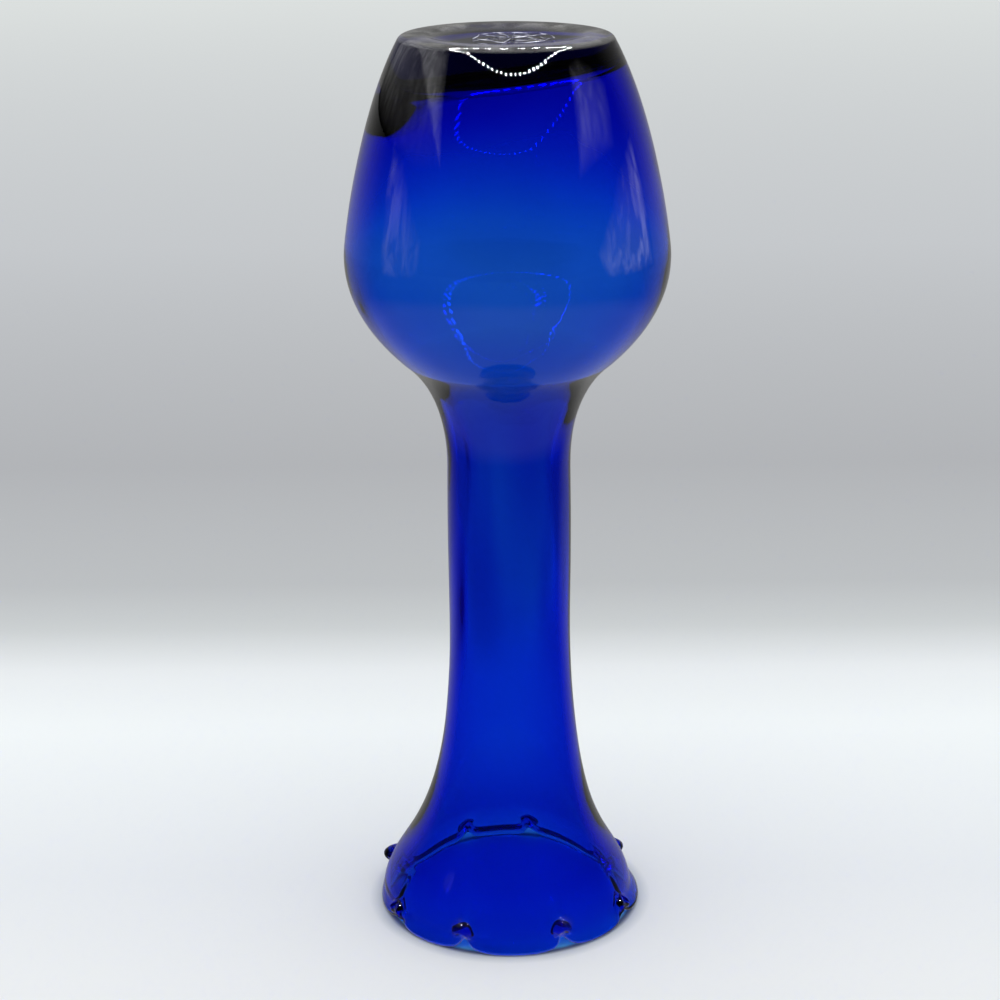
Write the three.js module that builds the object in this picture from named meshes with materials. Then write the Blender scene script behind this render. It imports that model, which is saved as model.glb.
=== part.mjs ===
// Bud vase of mouth-blown cobalt glass, set down on its crimped rim with the base on top.
// Millimetres, +Z up. The origin is on the axis, in the plane that the rim stands on; the front faces -Y.

import * as THREE from "three";

// Heights: the base, the bowl, the shoulder and the throat hang from the top, the flare stands on the rim
const HEIGHT = 254;
const BASE_HEIGHT = 28;
const BOWL_HEIGHT = 31;
const SHOULDER_HEIGHT = 29;
const THROAT_HEIGHT = 32;
const FLARE_HEIGHT = 90;
const LIP_HEIGHT = 16;
const WAIST_HEIGHT = 4.8;

// Outside radii
const RING_RADIUS = 26.9;
const BOWL_RADIUS = 44.65;
const SHOULDER_RADIUS = 30.1;
const NECK_RADIUS = 17.3;
const LIP_RADIUS = 38;
const LIP_OUT = 2.4;

// Glass thickness, square to the wall of the flare and level elsewhere
const LIP_WALL = 2.4;
const FLARE_WALL = 3.8;
const NECK_WALL = 3.2;
const SHOULDER_WALL = 2.4;
const BOWL_WALL = 1.8;
const BASE_WALL = 4.45;

// Slopes from the axis, in degrees
const HEEL_SLOPE = 28.9;
const SHOULDER_SLOPE = 47.4;
const WAIST_SLOPE = 4.7;
const LIP_TURN = 34;
const HOLLOW_SLOPE = 26;

// How far each curve keeps to the direction of its ends
const HEEL_PULL = 22.3;
const BOWL_TOP_PULL = 4.7;
const BOWL_UNDER_PULL = 3.7;
const SHOULDER_BOWL_PULL = 20;
const SHOULDER_NECK_PULL = 3.5;
const NECK_TOP_PULL = 23;
const NECK_FLARE_PULL = 71.2;
const WAIST_FLARE_PULL = 17.3;
const WAIST_LIP_PULL = 0.5;
const LIP_PULL = 2.6;
const HOLLOW_BOWL_PULL = 6;
const HOLLOW_SIDE_PULL = 11;
const HOLLOW_BASE_PULL = 19.5;
const HOLLOW_FLOOR_PULL = 30;

// Base: rounded heel, flat standing ring, shallow dish, and the glass under the hollow
const HEEL_ROUND = 2.4;
const RING_WIDTH = 5;
const DISH_DEPTH = 1.5;
const DISH_SLOPE = -110;
const DISH_PULL = 4;
const SEAT_RADIUS = 11;
const FLOOR_GLASS = 8.9;
const FLOOR_LEAN = 0.105;

// Crimps: pinches round the rim, each a little out of its even place, in degrees, with the reach of its nub
const CRIMP_DRIFT = [3, 4, -3, 5.5, 10, 1, 0.5, 7];
const NUB_REACH = [3, 3, 3.8, 4.2, 3.4, 3.4, 4.2, 3.2];
const FIRST_CRIMP = -22.5;
const NOTCH_RISE = 3;
const NOTCH_HALF = 2.3;
const SCALLOP_RISE = 0.7;
const SCALLOP_HALF = 5.4;
const SCALLOP_SHARE = 0.4;
const NUB_HALF = 3.6;
const NUB_HEIGHT = 6.7;
const NUB_TALL = 3;
const DIMPLE_SHARE = 0.15;

// How far the rim lies off the axis, and the height where the flare is true again
const DRIFT_X = -1.3;
const DRIFT_Y = -1.2;
const DRIFT_HEIGHT = 60;

// Pontil scar: ragged ring of broken glass
const SCAR_RADIUS = 8;
const SCAR_WIDTH = 3;
const SCAR_HEIGHT = 1;
const SCAR_RAGGED = 0.45;

// Facets
const ROUND = 64;
const CRIMP_STEPS = 13;
const CRIMP_EASE = 0.72;
const SCAR_STEPS = 40;

const GLASS = "#1230b4";
const SCAR_GLASS = "#7f93d8";

// Levels above the rim's plane
const baseLevel = HEIGHT - BASE_HEIGHT;
const bowlLevel = baseLevel - BOWL_HEIGHT;
const shoulderLevel = bowlLevel - SHOULDER_HEIGHT;
const neckTop = shoulderLevel - THROAT_HEIGHT;
const seatLevel = HEIGHT - DISH_DEPTH;
const floorLevel = seatLevel - FLOOR_GLASS;
const lipTurn = THREE.MathUtils.degToRad(LIP_TURN);
const lipLevel = (LIP_WALL / 2) * (1 + Math.sin(lipTurn));

const point = (radius, level) => new THREE.Vector2(radius, level);

// Curve between two points, each with a slope from the axis in degrees and a pull
function bend(start, startSlope, startPull, end, endSlope, endPull) {
  const lean = (slope, pull) => {
    const angle = THREE.MathUtils.degToRad(slope);
    return point(Math.sin(angle), Math.cos(angle)).multiplyScalar(pull);
  };
  const first = start.clone().add(lean(startSlope, startPull));
  const second = end.clone().sub(lean(endSlope, endPull));
  return new THREE.CubicBezierCurve(start, first, second, end);
}

// Place along a rising curve where it passes a level
function placeAt(curve, level) {
  let low = 0;
  let high = 1;
  for (let halving = 0; halving < 45; halving += 1) {
    const middle = (low + high) / 2;
    if (curve.getPoint(middle).y < level) {
      low = middle;
    } else {
      high = middle;
    }
  }
  return (low + high) / 2;
}

// Points of a rising curve from one level to another
function stretch(curve, from, to, count) {
  const start = placeAt(curve, from);
  const end = placeAt(curve, to);
  const points = [];
  for (let step = 0; step <= count; step += 1) {
    points.push(curve.getPoint(start + ((end - start) * step) / count));
  }
  points[0].y = from;
  points[count].y = to;
  return points;
}

// Curves of one face of the wall, from the neck up to the widest level of the bowl
function wall(neckRadius, shoulderRadius, bowlRadius) {
  const top = point(neckRadius, neckTop);
  const steepest = point(shoulderRadius, shoulderLevel);
  const widest = point(bowlRadius, bowlLevel);
  return {
    throat: bend(top, 0, NECK_TOP_PULL, steepest, SHOULDER_SLOPE, SHOULDER_NECK_PULL),
    shoulder: bend(steepest, SHOULDER_SLOPE, SHOULDER_BOWL_PULL, widest, 0, BOWL_UNDER_PULL),
    widest,
  };
}

const outside = wall(NECK_RADIUS, SHOULDER_RADIUS, BOWL_RADIUS);
const inside = wall(NECK_RADIUS - NECK_WALL, SHOULDER_RADIUS - SHOULDER_WALL, BOWL_RADIUS - BOWL_WALL);

// The flare below the neck: a trumpet down to a tight waist, and from there the lip turned out
const waist = point(LIP_RADIUS - LIP_OUT, WAIST_HEIGHT);
outside.lip = bend(
  point(LIP_RADIUS, lipLevel), -LIP_TURN, LIP_PULL,
  waist, -WAIST_SLOPE, WAIST_LIP_PULL,
);
outside.flare = bend(
  waist, -WAIST_SLOPE, WAIST_FLARE_PULL,
  point(NECK_RADIUS, FLARE_HEIGHT), 0, NECK_FLARE_PULL,
);

function flareThickness(level) {
  if (level < LIP_HEIGHT) {
    return THREE.MathUtils.mapLinear(level, lipLevel, LIP_HEIGHT, LIP_WALL, FLARE_WALL);
  }
  return THREE.MathUtils.mapLinear(level, LIP_HEIGHT, FLARE_HEIGHT, FLARE_WALL, NECK_WALL);
}

// Inner face of a stretch of the flare, its thickness square to the outer face
function behind(curve) {
  return {
    getPoint: (place) => {
      const outer = curve.getPoint(place);
      const along = curve.getTangent(place);
      const thickness = flareThickness(outer.y);
      return point(outer.x - along.y * thickness, outer.y + along.x * thickness);
    },
  };
}

inside.lip = behind(outside.lip);
inside.flare = behind(outside.flare);

// The two faces of the bowl above its widest level: out to the heel, and over to the floor of the hollow
const heelAngle = THREE.MathUtils.degToRad(HEEL_SLOPE);
const heelEnd = point(
  RING_RADIUS + HEEL_ROUND * Math.cos(heelAngle),
  HEIGHT - HEEL_ROUND + HEEL_ROUND * Math.sin(heelAngle),
);
outside.side = bend(outside.widest, 0, BOWL_TOP_PULL, heelEnd, -HEEL_SLOPE, HEEL_PULL);
const outsideBase = outside.side.getPoint(placeAt(outside.side, baseLevel));
const insideBase = point(outsideBase.x - BASE_WALL, baseLevel);
inside.side = bend(inside.widest, 0, HOLLOW_BOWL_PULL, insideBase, -HOLLOW_SLOPE, HOLLOW_SIDE_PULL);
inside.floor = bend(
  insideBase, -HOLLOW_SLOPE, HOLLOW_BASE_PULL,
  point(0, floorLevel), -90, HOLLOW_FLOOR_PULL,
);

// Profile turned about the axis
function turned(profile, segments) {
  return new THREE.LatheGeometry(profile, segments).rotateX(Math.PI / 2);
}

function piece(name, geometry, colour) {
  const material = new THREE.MeshStandardMaterial({ color: colour, roughness: 0.05 });
  const mesh = new THREE.Mesh(geometry, material);
  mesh.name = name;
  return mesh;
}

// Ring of wall between two levels: up the outside, down the inside, and closed
function ring(outer, inner) {
  const profile = [...outer, ...inner.reverse()];
  profile.push(profile[0].clone());
  return profile;
}

function neck() {
  const outer = [point(NECK_RADIUS, FLARE_HEIGHT), point(NECK_RADIUS, neckTop)];
  const inner = outer.map((corner) => point(corner.x - NECK_WALL, corner.y));
  return piece("neck", turned(ring(outer, inner), ROUND), GLASS);
}

// The rim was worked a little off the axis, and the flare above it leads back
function drifted(geometry) {
  const place = geometry.getAttribute("position");
  for (let index = 0; index < place.count; index += 1) {
    const share = 1 - THREE.MathUtils.smoothstep(place.getZ(index), WAIST_HEIGHT, DRIFT_HEIGHT);
    place.setX(index, place.getX(index) + DRIFT_X * share);
    place.setY(index, place.getY(index) + DRIFT_Y * share);
  }
  return geometry;
}

function trumpetMouth() {
  const outer = stretch(outside.flare, LIP_HEIGHT, FLARE_HEIGHT, 8);
  const inner = stretch(inside.flare, LIP_HEIGHT, FLARE_HEIGHT, 6);
  return piece("trumpet_mouth", drifted(turned(ring(outer, inner), ROUND)), GLASS);
}

function shoulder() {
  const outer = [
    ...stretch(outside.throat, neckTop, shoulderLevel, 6),
    ...stretch(outside.shoulder, shoulderLevel, bowlLevel, 6).slice(1),
  ];
  const inner = [
    ...stretch(inside.throat, neckTop, shoulderLevel, 5),
    ...stretch(inside.shoulder, shoulderLevel, bowlLevel, 5).slice(1),
  ];
  return piece("shoulder", turned(ring(outer, inner), ROUND), GLASS);
}

function bowl() {
  const outer = stretch(outside.side, bowlLevel, baseLevel, 5);
  const inner = stretch(inside.side, bowlLevel, baseLevel, 4);
  return piece("bowl", turned(ring(outer, inner), ROUND), GLASS);
}

// The floor of the hollow leans, so the foot is thicker towards -X
function leanFloor(geometry, floor, stations) {
  const place = geometry.getAttribute("position");
  for (let index = 0; index < place.count; index += 1) {
    const station = index % stations;
    if (station < floor.length) {
      const share = THREE.MathUtils.smoothstep(floor[station].y, baseLevel, floorLevel);
      place.setZ(index, place.getZ(index) + FLOOR_LEAN * share * place.getX(index));
    }
  }
  return geometry;
}

function basePad() {
  const floor = stretch(inside.floor, baseLevel, floorLevel, 8).reverse();
  floor[0].x = 0;
  const side = stretch(outside.side, baseLevel, heelEnd.y, 4);
  const heel = [];
  for (let step = 1; step <= 4; step += 1) {
    const angle = heelAngle + ((Math.PI / 2 - heelAngle) * step) / 4;
    const level = HEIGHT - HEEL_ROUND + HEEL_ROUND * Math.sin(angle);
    heel.push(point(RING_RADIUS + HEEL_ROUND * Math.cos(angle), level));
  }
  heel[3].y = HEIGHT;
  const ringInner = point(RING_RADIUS - RING_WIDTH, HEIGHT);
  const dish = bend(ringInner, DISH_SLOPE, DISH_PULL, point(SEAT_RADIUS, seatLevel), -90, DISH_PULL);
  const profile = [...floor, ...side, ...heel, ...dish.getPoints(4), point(0, seatLevel)];
  const geometry = leanFloor(turned(profile, ROUND), floor, profile.length);
  return piece("base_pad", geometry, GLASS);
}

// Angle of each crimp from the front, in radians
const crimps = CRIMP_DRIFT.map((drift, index) => {
  const even = FIRST_CRIMP + (360 / CRIMP_DRIFT.length) * index;
  return THREE.MathUtils.degToRad(even + drift);
});

// Angles round the rim, closer together at the crimps, each with the way along the rim to its nearest crimp
function rimAngles() {
  const angles = [];
  crimps.forEach((crimp, index) => {
    const following = (index + 1) % crimps.length;
    const width = THREE.MathUtils.euclideanModulo(crimps[following] - crimp, 2 * Math.PI);
    for (let step = 0; step < CRIMP_STEPS; step += 1) {
      const even = step / CRIMP_STEPS;
      const eased = even - (CRIMP_EASE * Math.sin(2 * Math.PI * even)) / (2 * Math.PI);
      const away = width * Math.min(eased, 1 - eased) * LIP_RADIUS;
      const reach = NUB_REACH[eased < 0.5 ? index : following];
      angles.push({ angle: crimp + width * eased, away, reach });
    }
  });
  angles.push({ ...angles[0], angle: angles[0].angle + 2 * Math.PI });
  return angles;
}

// Section of the lip: up the outside, down the inside and round the edge. Each station has its share of the
// nubs, all of it outside and only a dimple inside.
function lipSection() {
  const trumpet = stretch(outside.flare, WAIST_HEIGHT, LIP_HEIGHT, 6);
  const outer = [...outside.lip.getPoints(4), ...trumpet.slice(1)];
  const upper = stretch(inside.flare, inside.flare.getPoint(0).y, LIP_HEIGHT, 5);
  const lower = [0, 1, 2].map((step) => inside.lip.getPoint(step / 3));
  const inner = [...lower, ...upper].reverse();
  const centre = outer[0].clone().add(lower[0]).divideScalar(2);
  const bottom = 1.5 * Math.PI;
  const turns = [(bottom + Math.PI + lipTurn) / 2, bottom, (bottom + 2 * Math.PI + lipTurn) / 2];
  const edge = turns.map((turn) => {
    const spoke = point(Math.cos(turn), Math.sin(turn));
    return spoke.multiplyScalar(LIP_WALL / 2).add(centre);
  });
  const inwards = (station) => ({ station, share: DIMPLE_SHARE });
  const outwards = (station) => ({ station, share: 1 });
  const closing = outwards(outer[0].clone());
  return [...outer.map(outwards), ...inner.map(inwards), ...edge.map(inwards), closing];
}

// Lip: every pinch pushes the turned-out edge back, lifts it into a notch between rounded lobes, and
// swells a round nub of glass outwards above the notch
function crimpedLip() {
  const section = lipSection();
  const angles = rimAngles();
  const geometry = turned(section.map(({ station }) => station), angles.length - 1);
  const place = geometry.getAttribute("position");
  for (let index = 0; index < place.count; index += 1) {
    const { station, share } = section[index % section.length];
    const { angle, away, reach } = angles[Math.floor(index / section.length)];
    const pinch = Math.exp(-((away / NOTCH_HALF) ** 2));
    const scallop = Math.exp(-((away / SCALLOP_HALF) ** 2));
    const lift = NOTCH_RISE * pinch + SCALLOP_RISE * scallop;
    const level = station.y + lift * (1 - THREE.MathUtils.smoothstep(station.y, 0, LIP_HEIGHT));
    const turnedOut = 1 - THREE.MathUtils.smoothstep(station.y, lipLevel, WAIST_HEIGHT);
    const push = LIP_OUT * turnedOut * (pinch + SCALLOP_SHARE * (scallop - pinch));
    const beside = (away / NUB_HALF) ** 2 + ((level - NUB_HEIGHT) / NUB_TALL) ** 2;
    const dome = Math.max(0, 1 - beside) ** 0.75;
    const radius = station.x - push + reach * share * dome;
    place.setXYZ(index, radius * Math.sin(angle), -radius * Math.cos(angle), level);
  }
  return piece("crimped_lip", drifted(geometry), GLASS);
}

// Scar: a low ring on the seat of the dish, its crest broken off unevenly
function pontilScar() {
  const middle = SCAR_RADIUS;
  const half = SCAR_WIDTH / 2;
  const crest = seatLevel + SCAR_HEIGHT;
  const profile = [
    point(middle - half, seatLevel),
    point(middle + half, seatLevel),
    point(middle + half * 0.45, crest),
    point(middle - half * 0.2, crest),
    point(middle - half, seatLevel),
  ];
  const geometry = turned(profile, SCAR_STEPS);
  const place = geometry.getAttribute("position");
  for (let index = 0; index < place.count; index += 1) {
    const station = (index % profile.length) % (profile.length - 1);
    const turn = (2 * Math.PI * (Math.floor(index / profile.length) % SCAR_STEPS)) / SCAR_STEPS;
    const broken = Math.sin(5 * turn + station) + 0.6 * Math.sin(13 * turn + 2 * station);
    const shift = 1 + (SCAR_RAGGED / middle) * broken;
    place.setX(index, place.getX(index) * shift);
    place.setY(index, place.getY(index) * shift);
    if (station === 2 || station === 3) {
      place.setZ(index, place.getZ(index) + 0.4 * SCAR_RAGGED * broken);
    }
  }
  return piece("pontil_scar", geometry, SCAR_GLASS);
}

const vase = new THREE.Group();
vase.name = "bud_vase";
vase.add(basePad(), bowl(), shoulder(), neck(), trumpetMouth(), crimpedLip(), pontilScar());

export default vase;
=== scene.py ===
# %% [markdown]
# # A bud vase of blown cobalt glass
# The vase stands upside down on its crimped rim, with the thick base on top. The solid model gives
# its sizes and its place. This lesson makes what the eye sees: one unbroken skin of glass with a
# hollow inside, the ragged scar where the punty broke off, and the light that shows them.

# %% Load the solid model
import bisect
import math

import bmesh
import bpy
from mathutils import Matrix, Vector, geometry, noise


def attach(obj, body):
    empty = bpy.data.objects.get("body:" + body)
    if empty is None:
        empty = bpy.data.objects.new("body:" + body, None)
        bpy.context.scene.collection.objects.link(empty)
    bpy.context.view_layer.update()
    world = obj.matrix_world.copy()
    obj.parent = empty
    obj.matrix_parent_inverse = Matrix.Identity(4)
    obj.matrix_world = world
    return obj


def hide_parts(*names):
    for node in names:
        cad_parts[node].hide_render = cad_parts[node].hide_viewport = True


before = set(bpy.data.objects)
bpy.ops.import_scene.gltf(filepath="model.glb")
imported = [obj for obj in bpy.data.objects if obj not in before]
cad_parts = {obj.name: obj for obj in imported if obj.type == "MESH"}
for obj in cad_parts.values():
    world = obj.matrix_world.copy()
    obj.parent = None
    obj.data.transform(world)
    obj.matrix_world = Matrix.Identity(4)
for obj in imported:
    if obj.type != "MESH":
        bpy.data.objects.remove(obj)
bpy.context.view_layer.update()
MM = 0.001

# %% [markdown]
# ## Camera
# The picture was taken from a little above the base with a long lens. The two rings of the vase, base
# and rim, are seen as flat and open ellipses, and that fixes the distance, the height and the tilt.
# A small roll is kept, because the vase leans slightly to the left in the picture.

# %% Camera
CAMERA_PLACE = Vector((-2.55, -619.5, 332.5))
CAMERA_TILT = 18.63
CAMERA_ROLL = -0.44
camera_data = bpy.data.cameras.new("camera")
camera_data.sensor_width = 36
camera_data.lens = 83.2
camera = bpy.data.objects.new("camera", camera_data)
camera.location = CAMERA_PLACE * MM
tilt = Matrix.Rotation(math.radians(90 - CAMERA_TILT), 3, "X")
roll = Matrix.Rotation(math.radians(CAMERA_ROLL), 3, "Z")
camera.rotation_euler = (tilt @ roll).to_euler()
bpy.context.scene.collection.objects.link(camera)
bpy.context.scene.camera = camera
print("camera stands", round(camera.location.length, 3), "m from the rim's centre")

# %% [markdown]
# ## Drawing the section
# A blown vase is round, so its shape is one outline turned about the axis. It could be pulled out of a
# cylinder loop by loop, but a few Bezier curves, each with a slope and a pull at its ends, give smoother
# reflections and keep every level and radius a named size in millimetres.

# %% Levels and curves
HEIGHT = 254
BASE_LEVEL = 226
BOWL_LEVEL = 195
SHOULDER_LEVEL = 166
NECK_TOP = 134
FLARE_LEVEL = 90
LIP_LEVEL = 16
SHOULDER_SLOPE = 47.4


def bend(start, start_slope, start_pull, end, end_slope, end_pull, count):
    """Points of one curve of the section, in millimetres, slopes in degrees from the axis."""
    def lean(slope, pull):
        angle = math.radians(slope)
        return Vector((math.sin(angle), 0, math.cos(angle))) * pull
    first, last = Vector((start[0], 0, start[1])), Vector((end[0], 0, end[1]))
    return geometry.interpolate_bezier(
        first, first + lean(start_slope, start_pull), last - lean(end_slope, end_pull), last, count)


def arc(centre, radius, first, last, count):
    """Points of a round stretch of the section, between two angles in degrees."""
    turns = [math.radians(first + (last - first) * step / count) for step in range(count + 1)]
    return [Vector((centre[0] + radius * math.cos(turn), 0, centre[1] + radius * math.sin(turn)))
            for turn in turns]


def throat(neck, steep, wide):
    """One face of the wall from the neck over the steepest point to the widest level."""
    return [
        *bend((neck, FLARE_LEVEL), 0, 10, (neck, NECK_TOP), 0, 10, 7)[1:],
        *bend((neck, NECK_TOP), 0, 23, (steep, SHOULDER_LEVEL), SHOULDER_SLOPE, 3.5, 24)[1:],
        *bend((steep, SHOULDER_LEVEL), SHOULDER_SLOPE, 20, (wide, BOWL_LEVEL), 0, 3.7, 24)[1:],
    ]


print("levels, mm:", [LIP_LEVEL, FLARE_LEVEL, NECK_TOP, SHOULDER_LEVEL, BOWL_LEVEL, BASE_LEVEL, HEIGHT])

# %% [markdown]
# ## The outside
# From the lip, which is turned out, the outline runs up the trumpet, the neck, the shoulder and the bowl
# to the rounded heel, then over the standing ring into the dish where the punty sat. It ends on the axis.
# Its points lie close together in the lip, because the crimps will bend it there.

# %% Outside of the glass
LIP_RADIUS = 38
LIP_WALL = 2.4
LIP_TURN = 34
WAIST_RADIUS = 35.6
WAIST_LEVEL = 4.8
WAIST_SLOPE = -4.7
NECK_RADIUS = 17.3
SHOULDER_RADIUS = 30.1
BOWL_RADIUS = 44.65
HEEL_RADIUS = 26.9
HEEL_ROUND = 2.4
HEEL_SLOPE = 28.9
RING_INSIDE = 21.9
SEAT_RADIUS = 11
SEAT_LEVEL = 252.5
lip_start = LIP_WALL / 2 * (1 + math.sin(math.radians(LIP_TURN)))
trumpet = bend((WAIST_RADIUS, WAIST_LEVEL), WAIST_SLOPE, 17.3, (NECK_RADIUS, FLARE_LEVEL), 0, 71.2, 145)
flare = [
    *bend((LIP_RADIUS, lip_start), -LIP_TURN, 2.6, (WAIST_RADIUS, WAIST_LEVEL), WAIST_SLOPE, 0.5, 14),
    *[place for index, place in enumerate(trumpet) if index and (place.z < LIP_LEVEL or index % 4 == 0)],
]
heel = arc((HEEL_RADIUS, HEIGHT - HEEL_ROUND), HEEL_ROUND, HEEL_SLOPE, 90, 7)
outside = [
    *flare,
    *throat(NECK_RADIUS, SHOULDER_RADIUS, BOWL_RADIUS),
    *bend((BOWL_RADIUS, BOWL_LEVEL), 0, 4.7, (heel[0].x, heel[0].z), -HEEL_SLOPE, 22.3, 34)[1:],
    *heel[1:],
    *bend((RING_INSIDE, HEIGHT), -110, 4, (SEAT_RADIUS, SEAT_LEVEL), -90, 4, 12),
    *[Vector((SEAT_RADIUS * (1 - step / 4), 0, SEAT_LEVEL)) for step in range(1, 5)],
]
print("points outside:", len(outside))

# %% [markdown]
# ## The hollow
# In the flare the inside follows the outside at the wall's thickness. Above, it has curves of its own: the
# wall is thin in the bowl, where the glass was blown out most, and thick in the base. A round edge joins both
# sides at the lip. Both ends lie on the axis, so the turned skin closes on itself, and a ray of light finds
# glass only between the two walls.

# %% Inside of the glass, and the edge of the lip
FLARE_WALL = 4.15
NECK_WALL = 3.2
WALL_FADE = 26
FLOOR_LEVEL = 243.6
HOLLOW_SHOULDER = 27.7
HOLLOW_BOWL = 42.85
HOLLOW_BASE = 34.8
HOLLOW_HEEL = (28, 239.6)
HOLLOW_RING = (21.4, FLOOR_LEVEL - 0.4)
flare_inside = []
for before, here, after in zip([flare[0], *flare], flare, [*flare[1:], flare[-1]]):
    along = (after - before).normalized()
    wall = LIP_WALL + (FLARE_WALL - LIP_WALL) * min(1, (here.z - lip_start) / (LIP_LEVEL - lip_start))
    wall += (NECK_WALL - FLARE_WALL) * min(1, max(0, (here.z - LIP_LEVEL) / WALL_FADE))
    flare_inside.append(here + Vector((-along.z, 0, along.x)) * wall)
inside = [
    *flare_inside,
    *throat(NECK_RADIUS - NECK_WALL, HOLLOW_SHOULDER, HOLLOW_BOWL),
    *bend((HOLLOW_BOWL, BOWL_LEVEL), 0, 6, (HOLLOW_BASE, BASE_LEVEL), -20, 11, 20)[1:],
    *bend((HOLLOW_BASE, BASE_LEVEL), -20, 4.5, HOLLOW_HEEL, -32, 4.5, 14)[1:],
    *bend(HOLLOW_HEEL, -32, 3, HOLLOW_RING, -88, 4.6, 14)[1:],
    *bend(HOLLOW_RING, -88, 7, (0, FLOOR_LEVEL), -90, 7, 14)[1:],
]
lip_middle = (outside[0] + inside[0]) / 2
lip_edge = arc((lip_middle.x, lip_middle.z), LIP_WALL / 2, 180 + LIP_TURN, 360 + LIP_TURN, 10)[1:-1]
for place in lip_edge:
    place.z = max(place.z, 0)
section = [*reversed(inside), *lip_edge, *outside]
lowest = min(place.z for place in section)
print("points of the section:", len(section), "lowest level, mm:", round(lowest, 3))

# %% [markdown]
# ## Turning the section
# Spin turns the chain of edges about the axis. The points on the axis come out many times over, so doubles
# are merged before the normals are made to point out. Two numbers are kept on every point: how much of a
# pinch it follows, all of it outside and less inside, where only a dimple shows, and how far the lip is
# turned out there.

# %% Turned vessel
ROUND = 256
DIMPLE_SHARE = 0.15
LIP_OUT = LIP_RADIUS - WAIST_RADIUS
mesh = bmesh.new()
follow = mesh.verts.layers.float.new("follow")
turned = mesh.verts.layers.float.new("turned")
beyond_waist = [max(0, place.x - WAIST_RADIUS) if place.z < WAIST_LEVEL else 0 for place in flare]
outward = [0] * (len(inside) - len(flare))
outward += [*reversed(beyond_waist), *[LIP_OUT] * len(lip_edge), *beyond_waist]
outward += [0] * (len(section) - len(outward))
chain = []
for index, place in enumerate(section):
    corner = mesh.verts.new(place * MM)
    across = min(1, max(0, (index - len(inside)) / len(lip_edge)))
    corner[follow] = DIMPLE_SHARE + (1 - DIMPLE_SHARE) * across
    corner[turned] = outward[index]
    chain.append(corner)
edges = [mesh.edges.new(pair) for pair in zip(chain, chain[1:])]
bmesh.ops.spin(mesh, geom=chain + edges, cent=(0, 0, 0), axis=(0, 0, 1), angle=2 * math.pi, steps=ROUND,
               use_merge=True, use_duplicate=False)
bmesh.ops.remove_doubles(mesh, verts=mesh.verts, dist=1e-6)
print("turned vessel:", len(mesh.verts), "points,", len(mesh.faces), "faces")

# %% [markdown]
# ## Where the crimps sit
# The hot rim was pinched eight times, by eye, so the crimps are not quite evenly spaced. The even ring of
# points is first moved along the rim, closer together at each crimp, so that there are enough of them to
# bend. That could be done with more points all round, but most of them would lie idle.

# %% Places of the crimps
# One number per crimp, from the left one in front round by the right side and the back.
CRIMP_DRIFT = [1.5, 2.5, -3, 5.5, 10, 1, 0.5, 7]
CRIMPS = len(CRIMP_DRIFT)
CRIMP_STEP = 360 / CRIMPS
FIRST_CRIMP = -22.5
CRIMP_EASE = 0.6
crimps = [math.radians(FIRST_CRIMP + CRIMP_STEP * index + drift)
          for index, drift in enumerate(CRIMP_DRIFT)]


def rim_place(angle):
    """New angle of a point of the rim, its nearest crimp, and the way there along the rim, in mm."""
    even = ((math.degrees(angle) - FIRST_CRIMP) / CRIMP_STEP + 1e-6) % CRIMPS
    index = int(even)
    share = even - index
    eased = share - CRIMP_EASE * math.sin(2 * math.pi * share) / (2 * math.pi)
    start = crimps[index]
    width = (crimps[(index + 1) % CRIMPS] - start) % (2 * math.pi)
    nearest = index if eased < 0.5 else (index + 1) % CRIMPS
    return start + width * eased, nearest, width * min(eased, 1 - eased) * LIP_RADIUS


print("crimps, degrees from the front:", [round(math.degrees(crimp), 1) for crimp in crimps])

# %% [markdown]
# ## Sizes of a pinch
# Each pinch lifts the edge into a small notch and squeezes a rounded nub of glass outwards above it. A
# sculpting brush could do it, but a formula gives eight crimps of one hand. They were not all squeezed
# alike, so each list below has one number per crimp, in the order of the crimps.

# %% Sizes of a pinch
NUB_REACH = [2.2, 2.2, 2.8, 4.2, 3.4, 3.4, 4.2, 2.8]
NUB_LEVEL = [6.7, 6.7, 4.4, 6.7, 6.7, 6.7, 6.7, 4.4]
NUB_HALF = 3.6
NUB_TALL = 3
NUB_ROUND = 0.75
NOTCH_RISE = [2.2, 2.2, 3, 3, 3, 3, 3, 3]
NOTCH_HALF = [2, 2, 2.3, 2.3, 2.3, 2.3, 2.3, 2.3]
FOLD = [1, 1, 0, 0, 0, 0, 0, 0]
SCALLOP_RISE = 0.7
SCALLOP_HALF = 5.4
SCALLOP_SHARE = 0.4
levels = [place.z for place in trumpet]


def smooth(value, low, high):
    """Rises from 0 at low to 1 at high, without a corner."""
    share = min(1, max(0, (value - low) / (high - low)))
    return share * share * (3 - 2 * share)


def trumpet_radius(level):
    """Outer radius of the trumpet at a level, and the waist's below it."""
    index = min(len(trumpet) - 1, max(1, bisect.bisect(levels, level)))
    low, high = trumpet[index - 1], trumpet[index]
    return low.lerp(high, max(0, (level - low.z) / (high.z - low.z))).x


print("trumpet's radius where the lip starts, mm:", round(trumpet_radius(LIP_LEVEL), 2))

# %% [markdown]
# ## Pinching the lip
# The lip is turned out at the back and runs nearly straight down in front, where the wall is wider instead. A
# lifted point follows the slope of the trumpet, or else it would leave a ridge that shows black, except where
# the fold in front is wanted. The whole rim has drifted a little off the axis, as hot glass does.

# %% Pinched lip
PLAIN_SHARE = 0.5
PLAIN_OUT = 1.2
PLAIN_LEVEL = 22
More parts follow.
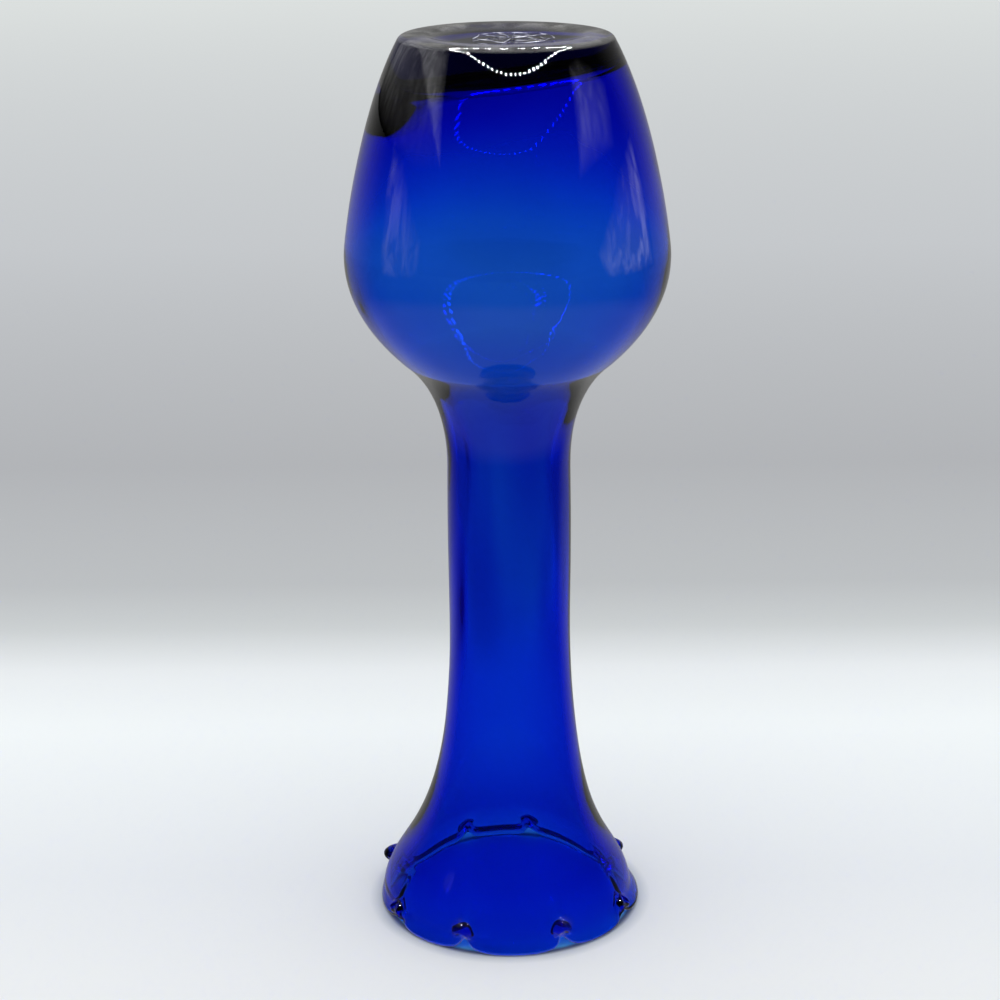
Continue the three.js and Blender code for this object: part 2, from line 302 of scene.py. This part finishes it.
# How far a point faces the front, from -1 at the back to 1, where the plain lip starts and is full.
PLAIN_START = -0.6
PLAIN_FULL = -0.1
LIP_DRIFT = Vector((-1.3, -1.2, 0))
LIP_STEP = Vector((0.9, 0, 0))
STEP_LEVEL = 6
DRIFT_LEVEL = 60
moved = 0
for corner in mesh.verts:
    level = corner.co.z / MM
    if level > DRIFT_LEVEL:
        continue
    radius = math.hypot(corner.co.x, corner.co.y) / MM
    angle = math.atan2(corner.co.x, -corner.co.y)
    aim, nearest, away = rim_place(angle)
    shift = (aim - angle + math.pi) % (2 * math.pi) - math.pi
    angle += shift * (1 - smooth(level, LIP_LEVEL, DRIFT_LEVEL))
    plain = smooth(math.cos(angle), PLAIN_START, PLAIN_FULL)
    if level < LIP_LEVEL:
        pinch = math.exp(-(away / NOTCH_HALF[nearest]) ** 2)
        scallop = math.exp(-(away / SCALLOP_HALF) ** 2)
        radius -= corner[turned] * PLAIN_SHARE * plain
        push = (1 - SCALLOP_SHARE) * pinch + SCALLOP_SHARE * scallop
        radius -= LIP_OUT * push * (1 - smooth(level, lip_start, WAIST_LEVEL))
        rise = NOTCH_RISE[nearest] * pinch + SCALLOP_RISE * scallop
        lifted = level + rise * (1 - smooth(level, 0, LIP_LEVEL))
        radius += (1 - FOLD[nearest]) * (trumpet_radius(lifted) - trumpet_radius(level))
        level = lifted
        beside = (away / NUB_HALF) ** 2
        over = ((level - NUB_LEVEL[nearest]) / NUB_TALL) ** 2
        dome = max(0, 1 - beside - over) ** NUB_ROUND
        radius += NUB_REACH[nearest] * corner[follow] * dome
        moved += dome > 0
    radius += PLAIN_OUT * plain * (1 - smooth(level, 0, PLAIN_LEVEL))
    drift = LIP_DRIFT * (1 - smooth(level, WAIST_LEVEL, DRIFT_LEVEL))
    drift += LIP_STEP * (1 - smooth(level, 0, STEP_LEVEL))
    corner.co = (Vector((radius * math.sin(angle), -radius * math.cos(angle), level)) + drift) * MM
print("points in the nubs:", moved)

# %% [markdown]
# ## The hand of the maker
# Nothing blown by hand is perfectly true. The floor of the hollow leans, so the foot is thicker on the left,
# both walls wander by a tenth of a millimetre or two, and the drawn neck has long streaks. That is what
# makes reflections wobble. A bump in the material would bend light only at the skin, while moving the points
# by steady noise makes the wall itself thicker and thinner.

# %% Leaning floor and uneven walls
FLOOR_LEAN = 0.105
LEFT_DROP = 0.13
LEFT_START = 18
LEFT_EASE = 5
WANDER_IN = 0.2
WANDER_OUT = 0.07
WANDER_FULL = 40
WANDER_FADE = 236
WANDER_END = 250
WAVE_LONG = 26
WAVE_SHORT = 9
SHORT_SHARE = 0.35
STREAK_WAVE = 6
STREAK_DRAWN = 5
STREAK_START = 60
STREAK_FULL = 100
STREAK_FADE = 135
STREAK_END = 165
AXIS_CLEAR = 1
for corner in mesh.verts:
    radius = math.hypot(corner.co.x, corner.co.y)
    level = corner.co.z / MM
    inner = corner[follow] < 0.5
    if inner and level > BOWL_LEVEL:
        beyond = corner.co.x + LEFT_START * MM
        drop = LEFT_DROP * (math.hypot(beyond, LEFT_EASE * MM) - beyond) / 2
        corner.co.z += smooth(level, BASE_LEVEL, FLOOR_LEVEL) * (FLOOR_LEAN * corner.co.x - drop)
    if radius > AXIS_CLEAR * MM and LIP_LEVEL < level < WANDER_END:
        wave = noise.noise(corner.co / (WAVE_LONG * MM))
        wave += SHORT_SHARE * noise.noise(corner.co / (WAVE_SHORT * MM))
        drawn = Vector((-corner.co.x, corner.co.y, corner.co.z / STREAK_DRAWN)) / (WAVE_SHORT * MM)
        streak = smooth(level, STREAK_START, STREAK_FULL) * (1 - smooth(level, STREAK_FADE, STREAK_END))
        wave += STREAK_WAVE * noise.noise(drawn) * streak
        amount = WANDER_IN if inner else WANDER_OUT
        fade = smooth(level, LIP_LEVEL, WANDER_FULL) * (1 - smooth(level, WANDER_FADE, WANDER_END))
        grow = 1 + amount * MM * wave * fade / radius
        corner.co.x *= grow
        corner.co.y *= grow
bmesh.ops.recalc_face_normals(mesh, faces=mesh.faces)


def place_piece(name, made, smooth_faces=True):
    """Turns a finished bmesh into an object at the origin."""
    data = bpy.data.meshes.new(name)
    made.to_mesh(data)
    made.free()
    for face in data.polygons:
        face.use_smooth = smooth_faces
    piece = bpy.data.objects.new(name, data)
    bpy.context.scene.collection.objects.link(piece)
    return piece


glass_litres = mesh.calc_volume() * 1000
vessel = place_piece("blown_vessel", mesh)
print("glass in the vessel:", round(glass_litres, 4), "litres")

# %% [markdown]
# ## Materials: a few small helpers
# Colours are written as the hex values that a screen shows, and one function makes them linear, as the shader
# wants them. Another adds a node, sets its values and joins its sockets, and a third fills a colour ramp.

# %% Helpers for materials
def linear(hex_colour, alpha=1):
    """A screen colour as the shader's light."""
    values = [int(hex_colour[at:at + 2], 16) / 255 for at in (1, 3, 5)]
    return (*[v / 12.92 if v <= 0.04045 else ((v + 0.055) / 1.055) ** 2.4 for v in values], alpha)


def add(tree, kind, settings=None, values=None, links=None):
    """Adds a node: settings are its properties, values its sockets' numbers, links what feeds its sockets."""
    made = tree.nodes.new(kind)
    for name, value in (settings or {}).items():
        setattr(made, name, value)
    for name, value in (values or {}).items():
        made.inputs[name].default_value = value
    for name, source in (links or {}).items():
        tree.links.new(source, made.inputs[name])
    return made


def fill_ramp(ramp, stops, low, high):
    """Sets a ramp's colours, at places given between low and high."""
    for _ in stops[2:]:
        ramp.elements.new(0.5)
    for element, (place, colour) in zip(ramp.elements, stops):
        element.position = (place - low) / (high - low)
        element.color = linear(colour)


def new_material(name):
    """An empty material and its nodes."""
    made = bpy.data.materials.new(name)
    made.use_nodes = True
    made.node_tree.nodes.clear()
    return made, made.node_tree


print("a screen's middle grey gives", round(linear("#808080")[0], 3), "of white's light")

# %% [markdown]
# ## Cobalt glass
# Soda-lime glass is clear, and a little cobalt oxide takes out the red and the green. A blue surface colour
# would tint thick and thin glass alike. So the surface is plain colourless glass, and the colour comes from
# the volume: the deeper the glass, the darker the blue. That alone makes the thin bowl bright, the neck deep
# and the solid base nearly black.

# %% Cobalt glass
# Mirror-smooth and clear, with a dull grey bloom only where the standing ring has rubbed on shelves.
GLASS_IOR = 1.52
RUB_START = 252.6
RUB_FULL = 253.9
SCUFF_SIZE = 7.143
cobalt, tree = new_material("cobalt_soda_lime_glass_fire_polished")
where = add(tree, "ShaderNodeTexCoord")
axis = add(tree, "ShaderNodeSeparateXYZ", links={"Vector": where.outputs["Object"]})
scuffs = add(tree, "ShaderNodeTexNoise", values={"Scale": 1 / (SCUFF_SIZE * MM), "Detail": 4},
             links={"Vector": where.outputs["Object"]})
worn = add(tree, "ShaderNodeMapRange", links={"Value": scuffs.outputs["Fac"]},
           values={"From Min": 0.4, "From Max": 0.65, "To Min": 0.92, "To Max": 0.76})
clear = add(tree, "ShaderNodeMapRange", links={"Value": axis.outputs["Z"]},
            values={"From Min": RUB_START * MM, "From Max": RUB_FULL * MM, "To Min": 1, "To Max": 0.76})
clearest = add(tree, "ShaderNodeMath", {"operation": "MAXIMUM"},
               links={0: clear.outputs["Result"], 1: worn.outputs["Result"]})
surface = add(tree, "ShaderNodeBsdfPrincipled", links={"Transmission Weight": clearest.outputs[0]},
              values={"Base Color": linear("#ffffff"), "Roughness": 0, "IOR": GLASS_IOR})
depth = add(tree, "ShaderNodeVolumeAbsorption", values={"Color": linear("#30c6f8"), "Density": 1250})
add(tree, "ShaderNodeOutputMaterial", links={"Surface": surface.outputs[0], "Volume": depth.outputs[0]})
vessel.data.materials.append(cobalt)
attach(vessel, "root")
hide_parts("base_pad", "bowl", "shoulder", "neck", "trumpet_mouth", "crimped_lip")
print("cobalt glass:", len(tree.nodes), "nodes")

# %% [markdown]
# ## Pontil scar
# The punty, an iron with a blob of glass, held the base while the rim was worked. Knocked off, it leaves a
# disc of sharp broken ridges. A disc of triangles is divided, its points stray, and some of its edges are
# dissolved. Wireframe then makes the edges that are left into thin ridges. Ridges are enough, because the
# dark glass of the dish shows between them.

# %% Pontil scar
SCAR_RADIUS = 10
SCAR_SIDES = 11
SCAR_PLACE = Vector((2.2, 0.8, 0))
SCAR_STRAY = 2.4
SCAR_CELL = 4
SCAR_PATCH = Vector((7, 3, 1))  # where in the noise the stray is read
LOOSE_CELL = 1.1
LOOSE_BELOW = -0.1
RIDGE_RISE = 0.45
RIDGE_UNEVEN = 0.5
RIDGE_WIDTH = 0.22
scar_mesh = bmesh.new()
noise.seed_set(2)  # the same ridges every time
bmesh.ops.create_circle(scar_mesh, cap_ends=True, cap_tris=True, segments=SCAR_SIDES,
                        radius=SCAR_RADIUS * MM, matrix=Matrix.Translation((0, 0, SEAT_LEVEL * MM)))
bmesh.ops.subdivide_edges(scar_mesh, edges=scar_mesh.edges, cuts=1)
for corner in scar_mesh.verts:
    stray = noise.noise_vector(corner.co / (SCAR_CELL * MM) + SCAR_PATCH)
    corner.co.x += SCAR_STRAY * MM * stray.x
    corner.co.y += SCAR_STRAY * MM * stray.y
    corner.co.z += (RIDGE_RISE + RIDGE_UNEVEN * stray.z) * MM
    corner.co += SCAR_PLACE * MM
loose = []
for edge in scar_mesh.edges:
    middle = (edge.verts[0].co + edge.verts[1].co) / 2
    if noise.noise(middle / (LOOSE_CELL * MM)) < LOOSE_BELOW:
        loose.append(edge)
bmesh.ops.dissolve_edges(scar_mesh, edges=loose, use_verts=False)
bmesh.ops.wireframe(scar_mesh, faces=scar_mesh.faces, thickness=RIDGE_WIDTH * MM, use_boundary=True,
                    use_even_offset=False, use_replace=True)
bmesh.ops.recalc_face_normals(scar_mesh, faces=scar_mesh.faces)
print("pontil scar:", len(scar_mesh.faces), "faces")
scar = place_piece("pontil_scar_ridges", scar_mesh, smooth_faces=False)

# %% [markdown]
# ## Broken glass
# A break has no fire polish, and its ridges are dulled by wear. A glass shader on such thin ridges would
# hardly show their glints, so they get a pale and uneven colour instead: painted glints, whitish in places,
# dark in others.

# %% Broken glass
# The ridges show as fine whitish lines on the dark base: painted glints of the broken facets, on glass dulled
# by wear.
PATCH_SIZE = 3.846
broken, tree = new_material("broken_cobalt_glass_ridges_painted_glints")
where = add(tree, "ShaderNodeTexCoord")
patch = add(tree, "ShaderNodeTexNoise", values={"Scale": 1 / (PATCH_SIZE * MM), "Detail": 3},
            links={"Vector": where.outputs["Object"]})
# Painted glints: noise makes the ridges whitish in places and dark violet in others.
tint = add(tree, "ShaderNodeValToRGB", links={"Fac": patch.outputs["Fac"]})
fill_ramp(tint.color_ramp, [(0.45, "#3a3a63"), (0.62, "#eceef8")], 0, 1)
surface = add(tree, "ShaderNodeBsdfPrincipled", values={"IOR": GLASS_IOR, "Roughness": 0.3},
              links={"Base Color": tint.outputs["Color"]})
add(tree, "ShaderNodeOutputMaterial", links={"Surface": surface.outputs[0]})
scar.data.materials.append(broken)
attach(scar, "root")
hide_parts("pontil_scar")
print("broken glass:", len(tree.nodes), "nodes")

# %% [markdown]
# ## Floor
# A plain pale floor carries the vase and fills the picture behind it. Painted shade makes it white round
# the vase and grey further back, where it lies behind the base. Under the mouth a painted blue light stands
# for the light that came through the glass, and a painted soft shadow lies where the lip touches it.

# %% Floor
FLOOR_RADIUS = 6
FLOOR_NEAR = -0.1
FLOOR_FAR = 2.4
MOUTH_NEAR = 30
MOUTH_FAR = 45
floor_mesh = bmesh.new()
bmesh.ops.create_circle(floor_mesh, cap_ends=True, segments=96, radius=FLOOR_RADIUS)
floor = place_piece("floor", floor_mesh)
# Matt paper without a sheen: the eye sees only soft shades of white and grey, painted into its colour.
paper, tree = new_material("floor_paper_painted_shade_and_light")
where = add(tree, "ShaderNodeTexCoord")
axis = add(tree, "ShaderNodeSeparateXYZ", links={"Vector": where.outputs["Object"]})
# Painted shade: white round the vase, darkening to grey further back.
back = add(tree, "ShaderNodeMapRange", links={"Value": axis.outputs["Y"]},
           values={"From Min": FLOOR_NEAR, "From Max": FLOOR_FAR})
shade = add(tree, "ShaderNodeValToRGB", links={"Fac": back.outputs["Result"]})
fill_ramp(shade.color_ramp, [
    (-0.05, "#e4e7e9"), (0.01, "#dfe3e7"), (0.12, "#e9eef0"), (0.17, "#e0e4e7"), (0.215, "#c2c6c8"),
    (0.26, "#b4b7ba"), (0.42, "#a9abaf"), (0.9, "#bbbec2"), (2.33, "#d0d4d4")], FLOOR_NEAR, FLOOR_FAR)
# Painted light and shadow: blue under the mouth for light through the glass, a soft shadow at the lip.
reach = add(tree, "ShaderNodeVectorMath", {"operation": "DISTANCE"}, {1: (LIP_DRIFT + LIP_STEP) * MM},
            {0: where.outputs["Object"]})
near = add(tree, "ShaderNodeMapRange", links={"Value": reach.outputs["Value"]},
           values={"From Min": MOUTH_NEAR * MM, "From Max": MOUTH_FAR * MM})
mouth_painted_light_and_shade = add(tree, "ShaderNodeValToRGB", links={"Fac": near.outputs["Result"]})
# Painted blue light inside the rim, a darker painted contact shadow at the lip, then plain white.
fill_ramp(mouth_painted_light_and_shade.color_ramp, [
    (30, "#7ce1ff"), (35.2, "#7ce1ff"), (36.5, "#626c8c"), (37.2, "#7f879e"), (38.4, "#dfe3e8"),
    (42, "#ffffff")], MOUTH_NEAR, MOUTH_FAR)
lit = add(tree, "ShaderNodeMix", {"data_type": "RGBA", "blend_type": "MULTIPLY"}, {0: 1},
          {6: shade.outputs["Color"], 7: mouth_painted_light_and_shade.outputs["Color"]})
surface = add(tree, "ShaderNodeBsdfDiffuse", links={"Color": lit.outputs[2]})
add(tree, "ShaderNodeOutputMaterial", links={"Surface": surface.outputs[0]})
floor.data.materials.append(paper)
floor.visible_glossy = False
print("floor:", 2 * FLOOR_RADIUS, "m across")

# %% [markdown]
# ## The studio's light
# A soft studio is dark towards the camera and white at the back and above. Where the eye looks past the vase
# it sees only pale paper. Walls could be modelled round the vase, but the world can hold two skies at less
# cost: one that the glass mirrors, and one that shines through it and on the floor.

# %% Studio
BACK_FACING = (0.1, 0.995, 0)
world = bpy.data.worlds.new("studio")
bpy.context.scene.world = world
world.use_nodes = True
tree = world.node_tree
tree.nodes.clear()
ray = add(tree, "ShaderNodeLightPath")
facing = add(tree, "ShaderNodeTexCoord")
axis = add(tree, "ShaderNodeSeparateXYZ", links={"Vector": facing.outputs["Generated"]})
# The mirrored sky is bright at the back, dimmer above, and shines a little from below.
soft = {"interpolation_type": "SMOOTHSTEP"}
behind = add(tree, "ShaderNodeMapRange", soft, links={"Value": axis.outputs["Y"]},
             values={"From Min": 0.22, "From Max": 0.97, "To Min": 0.02, "To Max": 0.34})
above = add(tree, "ShaderNodeMapRange", links={"Value": axis.outputs["Z"]},
            values={"From Min": -0.1, "From Max": 0.15, "To Min": 1, "To Max": 0.6})
below = add(tree, "ShaderNodeMapRange", links={"Value": axis.outputs["Z"]},
            values={"From Min": -0.41, "From Max": -0.56, "To Min": 0, "To Max": 0.2})
around = add(tree, "ShaderNodeMath", {"operation": "MULTIPLY_ADD"}, links={
    0: behind.outputs["Result"], 1: above.outputs["Result"], 2: below.outputs["Result"]})
mirrored = add(tree, "ShaderNodeBackground", values={"Color": linear("#f6f6f5")},
               links={"Strength": around.outputs[0]})
# The other sky grows brighter upwards, and the studio's front is dark where it is seen through the glass.
height = add(tree, "ShaderNodeMapRange", soft, links={"Value": axis.outputs["Z"]},
             values={"From Min": 0, "From Max": 0.7, "To Min": 0.79, "To Max": 1.3})
aside = add(tree, "ShaderNodeVectorMath", {"operation": "DOT_PRODUCT"}, {1: BACK_FACING},
            {0: facing.outputs["Generated"]})
front = add(tree, "ShaderNodeMapRange", soft, links={"Value": aside.outputs["Value"]},
            values={"From Min": -0.85, "From Max": -0.5, "To Min": 0, "To Max": 1})
through = add(tree, "ShaderNodeMix", values={"A": 1},
              links={"Factor": ray.outputs["Is Transmission Ray"], "B": front.outputs["Result"]})
light = add(tree, "ShaderNodeMath", {"operation": "MULTIPLY"},
            links={0: height.outputs["Result"], 1: through.outputs["Result"]})
pale = add(tree, "ShaderNodeBackground", values={"Color": linear("#f6f6f5")},
           links={"Strength": light.outputs[0]})
bounced = add(tree, "ShaderNodeMath", {"operation": "SUBTRACT", "use_clamp": True},
              links={0: ray.outputs["Is Glossy Ray"], 1: ray.outputs["Is Transmission Ray"]})
both = add(tree, "ShaderNodeMixShader",
           links={0: bounced.outputs[0], 1: pale.outputs[0], 2: mirrored.outputs[0]})
add(tree, "ShaderNodeOutputWorld", links={"Surface": both.outputs[0]})
print("studio:", len(tree.nodes), "nodes")

# %% [markdown]
# ## Ring of lamps
# A ring of small lamps hangs over the front. Its image is the row of white dots on the heel and the blue
# loops in the bowl. The lamps at the back are larger and taller, because the heel shows them flattened.
# Light objects would light the floor too, so these are small glowing balls that only the glass mirrors.

# %% Ring of lamps
LAMPS = 50
LAMP_CENTRE = Vector((22, -92, 466))
LAMP_RING = 190
LAMP_RADIUS = 3.4
LAMP_GROWTH = 1.9
LAMP_STRETCH = 0.5


def reflected_only(piece):
    """Keeps a light out of the picture itself and off the floor."""
    piece.visible_camera = piece.visible_diffuse = piece.visible_shadow = False


lamp_mesh = bmesh.new()
for index in range(LAMPS):
    turn = 2 * math.pi * index / LAMPS
    far = 1 - math.cos(turn)
    spot = LAMP_CENTRE + LAMP_RING * Vector((math.sin(turn), -math.cos(turn), 0))
    size = (LAMP_RADIUS + LAMP_GROWTH * far) * MM
    shape = Matrix.Translation(spot * MM) @ Matrix.Diagonal((1, 1, 1 + LAMP_STRETCH * far, 1))
    bmesh.ops.create_icosphere(lamp_mesh, subdivisions=2, radius=size, matrix=shape)
lamps = place_piece("ring_of_lamps", lamp_mesh)
# Small and very bright, so that each lamp shows as a white dot even in a weak reflection.
glow, tree = new_material("lamp_white_glow")
shine = add(tree, "ShaderNodeEmission", values={"Color": linear("#ffffff"), "Strength": 150})
add(tree, "ShaderNodeOutputMaterial", links={"Surface": shine.outputs[0]})
lamps.data.materials.append(glow)
reflected_only(lamps)
print("lamps:", LAMPS, "in a ring", 2 * LAMP_RING, "mm across")

# %% [markdown]
# ## Panels and foil
# White panels shine softly on the upper bulb, and below them crinkled foil throws broken streaks. Area lamps
# would give hard edges. Instead each is one face whose border is inset, with a number on its points that
# fades the light out from the middle to the rim.

# %% How a panel is made
CRINKLE_SIZE = 45.45


def side_panel(name, side, outline, glows, border, material):
    """A glowing face beside the vase: its corners in metres, and the share of the light near each of them."""
    made = bmesh.new()
    glow = made.verts.layers.float.new("glow")
    face = made.faces.new([made.verts.new((side, *place)) for place in outline])
    face.normal_update()
    bmesh.ops.inset_individual(made, faces=[face], thickness=border, use_even_offset=True)
    for corner, share in zip(face.verts, glows):
        corner[glow] = share
    panel = place_piece(name, made)
    panel.data.materials.append(material)
    reflected_only(panel)
    return panel


def glow_material(name, strength, crinkle):
    """White glow that fades with the panel's own number, broken up by crinkles where it is foil."""
    material, tree = new_material(name)
    fade = add(tree, "ShaderNodeAttribute", {"attribute_name": "glow"})
    where = add(tree, "ShaderNodeTexCoord")
    folds = add(tree, "ShaderNodeTexNoise", links={"Vector": where.outputs["Object"]},
                values={"Scale": 1 / (CRINKLE_SIZE * MM), "Detail": 3, "Distortion": 1.2})
    glint = add(tree, "ShaderNodeMapRange", links={"Value": folds.outputs["Fac"]}, values={
        "From Min": 0.42, "From Max": 0.66,
        "To Min": strength * (1 - crinkle), "To Max": strength * (1 + crinkle)})
    level = add(tree, "ShaderNodeMath", {"operation": "MULTIPLY"},
                links={0: fade.outputs["Fac"], 1: glint.outputs["Result"]})
    shine = add(tree, "ShaderNodeEmission", links={"Strength": level.outputs[0]})
    ray = add(tree, "ShaderNodeLightPath")
    empty = add(tree, "ShaderNodeBsdfTransparent")
    seen = add(tree, "ShaderNodeMixShader",
               links={0: ray.outputs["Is Transmission Ray"], 1: shine.outputs[0], 2: empty.outputs[0]})
    add(tree, "ShaderNodeOutputMaterial", links={"Surface": seen.outputs[0]})
    return material


print("crinkles of the foil, mm:", CRINKLE_SIZE)

# %% [markdown]
# ## Hanging the panels
# The left panel reaches furthest back, and the right one is small. Their corners are placed by where the
# sheens lie on the glass: a higher corner moves a sheen up the bulb, and one further back moves it outwards.

# %% Panels and foil
# The panels give a soft grey sheen, the foil broken streaks with feathered ends.
SIDE = 0.3
panel_glow = glow_material("panel_white_soft_glow", 0.9, 0.3)
foil_glow = glow_material("foil_crinkled_silver_glow", 0.6, 0.7)
panels = [
    side_panel("panel_left", -SIDE, [(0.45, 0.25), (0.45, 0.55), (-0.12, 0.52), (-0.25, 0.32), (-0.1, 0.28)],
               (0.6, 0.6, 1.8, 1.8, 0.4), 0.08, panel_glow),
    side_panel("panel_right", SIDE, [(-0.13, 0.46), (-0.05, 0.44), (0.06, 0.34), (0, 0.28), (-0.23, 0.3)],
               (0.8, 0.6, 0.4, 0.5, 0.9), 0.05, panel_glow),
    side_panel("foil_left", -SIDE, [(0.05, 0.29), (-0.03, 0.28), (-0.18, 0.23), (-0.17, 0.17), (0, 0.15)],
               (0.7, 0.6, 0.5, 0.5, 0.7), 0.03, foil_glow),
    side_panel("foil_right", SIDE, [(0.12, 0.27), (-0.03, 0.26), (-0.17, 0.21), (-0.12, 0.16), (0.14, 0.15)],
               (1.2, 1.2, 1.2, 1.3, 1.3), 0.03, foil_glow),
]
print("hung beside the vase:", [panel.name for panel in panels])

# %% [markdown]
# ## Sizes and the end
# The picture shows plain screen colours, and light may pass many walls of glass before it is given up.

# %% Screen colours and light steps
LIGHT_STEPS = 24
bpy.context.scene.view_settings.view_transform = "Standard"
bpy.context.scene.cycles.max_bounces = LIGHT_STEPS
bpy.context.scene.cycles.transmission_bounces = LIGHT_STEPS
